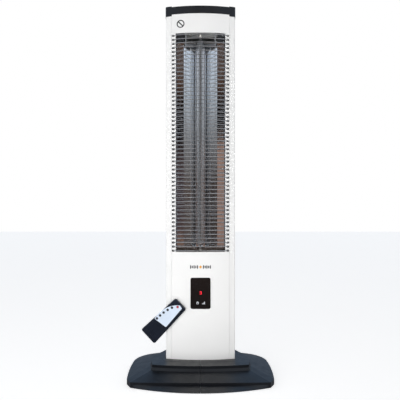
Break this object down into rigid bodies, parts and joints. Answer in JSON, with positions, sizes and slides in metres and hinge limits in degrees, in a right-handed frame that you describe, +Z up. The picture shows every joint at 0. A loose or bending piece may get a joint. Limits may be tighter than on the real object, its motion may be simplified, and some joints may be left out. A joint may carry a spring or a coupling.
{
  "type": "outdoor heater",
  "caption": "Free-standing tower heater with a caged quartz lamp before a polished trough, touch display, domed split base and a small handset",
  "frame": {"origin": "on the floor, under the middle of the base's outline", "axes": "+Z up, the guarded lamp faces -Y, +X to the right seen from the front"},
  "size_m": [0.359, 0.276, 0.9276],
  "materials": {
    "white_powder_coat": "fine satin powder coat",
    "black_moulding": "fine grained black moulding",
    "handset_shell": "satin dark plastic",
    "zinc_plated_steel": "zinc plated",
    "polished_aluminium": "polished to a mirror",
    "drawn_aluminium": "extruded",
    "chromed_wire": "bright chrome",
    "quartz": "clear quartz",
    "white_ceramic": "unglazed steatite",
    "carbon": "woven carbon cord",
    "lead_sleeve": "silicone sleeve",
    "display_gloss": "black backed gloss glass",
    "board_laminate": "green solder mask",
    "terminal_plastic": "moulded",
    "pad_rubber": "soft black rubber",
    "overlay_film": "printed pale film",
    "ir_lens": "dark tinted lens",
    "button_red": "silicone key",
    "button_black": "silicone key"
  },
  "bodies": {
    "root": {"back_panel": "white_powder_coat", "ballast_plate": "zinc_plated_steel", "ballast_screws": "zinc_plated_steel", "base_half_left": "black_moulding", "base_half_right": "black_moulding", "board_standoffs": "zinc_plated_steel", "cable_gland": "black_moulding", "cap_screws": "zinc_plated_steel", "carbon_filament": "carbon", "column_bolts": "zinc_plated_steel", "column_foot_plate": "zinc_plated_steel", "column_top_plate": "zinc_plated_steel", "digit_module": "black_moulding", "display_board": "board_laminate", "display_glass": "display_gloss", "display_holder": "black_moulding", "front_panel": "white_powder_coat", "gland_nut": "black_moulding", "guard_rods": "chromed_wire", "guard_wires": "chromed_wire", "heat_sink": "drawn_aluminium", "ir_receiver": "black_moulding", "lamp_clips": "zinc_plated_steel", "lamp_end_caps": "white_ceramic", "lamp_leads": "lead_sleeve", "lamp_seals": "quartz", "lamp_tube": "quartz", "panel_screws": "zinc_plated_steel", "power_board": "board_laminate", "rear_straps": "zinc_plated_steel", "reflector_brackets": "zinc_plated_steel", "reflector_flanks": "polished_aluminium", "reflector_trough": "polished_aluminium", "relays": "black_moulding", "rubber_feet": "pad_rubber", "seam_bolts": "zinc_plated_steel", "side_rail_left": "white_powder_coat", "side_rail_right": "white_powder_coat", "switch_body": "black_moulding", "terminal_block": "terminal_plastic", "thermal_cutout": "white_ceramic", "tilt_switch_housing": "black_moulding", "top_cap": "black_moulding", "triac": "terminal_plastic"},
    "handset": {"handset_back_shell": "handset_shell", "handset_front_shell": "handset_shell", "handset_overlay": "overlay_film", "handset_board": "board_laminate", "handset_ir_led": "ir_lens", "handset_magnet": "zinc_plated_steel"},
    "battery_drawer": {"battery_tray": "handset_shell", "coin_cell": "zinc_plated_steel"},
    "rocker_body": {"rocker": "black_moulding"},
    "pendulum_body": {"tilt_pendulum": "zinc_plated_steel"},
    "button_power_body": {"button_power": "button_red"},
    "button_mode_body": {"button_mode": "button_black"},
    "button_up_body": {"button_up": "button_black"},
    "button_down_body": {"button_down": "button_black"},
    "button_timer_body": {"button_timer": "button_black"},
    "button_light_body": {"button_light": "button_black"}
  },
  "joints": [
    {"name": "handset_lift", "type": "slide", "parent": "root", "child": "handset", "axis": [-0.1541, -0.9881, 0], "range_m": [0, 0.08]},
    {"name": "battery_drawer_slide", "type": "slide", "parent": "handset", "child": "battery_drawer", "axis": [-0.6987, 0.1089, -0.7071], "range_m": [0, 0.034]},
    {"name": "rocker_tilt", "type": "hinge", "parent": "root", "child": "rocker_body", "pos_m": [0.045, 0.0715, 0.13], "axis": [1, 0, 0], "range_deg": [-20, 0]},
    {"name": "pendulum_swing", "type": "hinge", "parent": "root", "child": "pendulum_body", "pos_m": [-0.04, 0.03, 0.078], "axis": [0, 1, 0], "range_deg": [-20, 20]},
    {"name": "button_power_press", "type": "slide", "parent": "handset", "child": "button_power_body", "axis": [0.1541, 0.9881, 0], "range_m": [0, 0.0006], "stiffness_N_per_m": 400},
    {"name": "button_mode_press", "type": "slide", "parent": "handset", "child": "button_mode_body", "axis": [0.1541, 0.9881, 0], "range_m": [0, 0.0006], "stiffness_N_per_m": 400},
    {"name": "button_up_press", "type": "slide", "parent": "handset", "child": "button_up_body", "axis": [0.1541, 0.9881, 0], "range_m": [0, 0.0006], "stiffness_N_per_m": 400},
    {"name": "button_down_press", "type": "slide", "parent": "handset", "child": "button_down_body", "axis": [0.1541, 0.9881, 0], "range_m": [0, 0.0006], "stiffness_N_per_m": 400},
    {"name": "button_timer_press", "type": "slide", "parent": "handset", "child": "button_timer_body", "axis": [0.1541, 0.9881, 0], "range_m": [0, 0.0006], "stiffness_N_per_m": 400},
    {"name": "button_light_press", "type": "slide", "parent": "handset", "child": "button_light_body", "axis": [0.1541, 0.9881, 0], "range_m": [0, 0.0006], "stiffness_N_per_m": 400}
  ]
}
